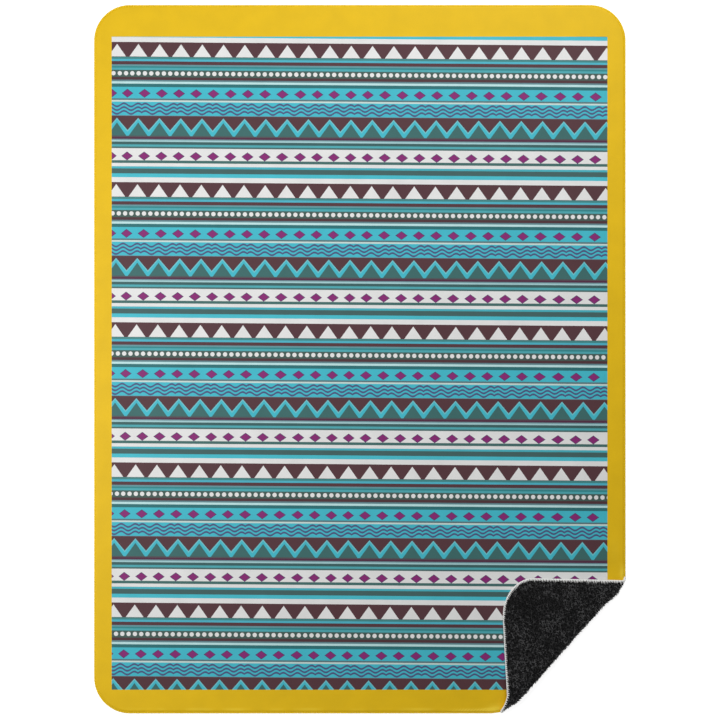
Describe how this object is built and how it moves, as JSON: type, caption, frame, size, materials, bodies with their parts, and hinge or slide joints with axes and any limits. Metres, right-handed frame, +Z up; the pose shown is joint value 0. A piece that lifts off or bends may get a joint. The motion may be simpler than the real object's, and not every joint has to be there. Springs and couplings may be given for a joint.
{
  "type": "sherpa blanket",
  "caption": "Soft throw of printed plush backed with curly sherpa pile, overlocked all round, lying flat with one corner turned over.",
  "frame": {"origin": "centre of the blanket's footprint, on the surface it lies on", "axes": "+Z up out of the printed face, +Y along the length towards the hem away from the turned corner, +X across, towards the side that has the turned corner"},
  "size_m": [1.5258, 2.0342, 0.0325],
  "materials": {
    "sherpa_pile": "curly black pile, matt",
    "printed_plush": "short printed plush with a soft sheen",
    "overlock_thread": "textured thread, matt"
  },
  "bodies": {
    "root": {"sherpa_panel": "sherpa_pile", "face_panel": "printed_plush", "edge_overlock": "overlock_thread"}
  },
  "joints": []
}
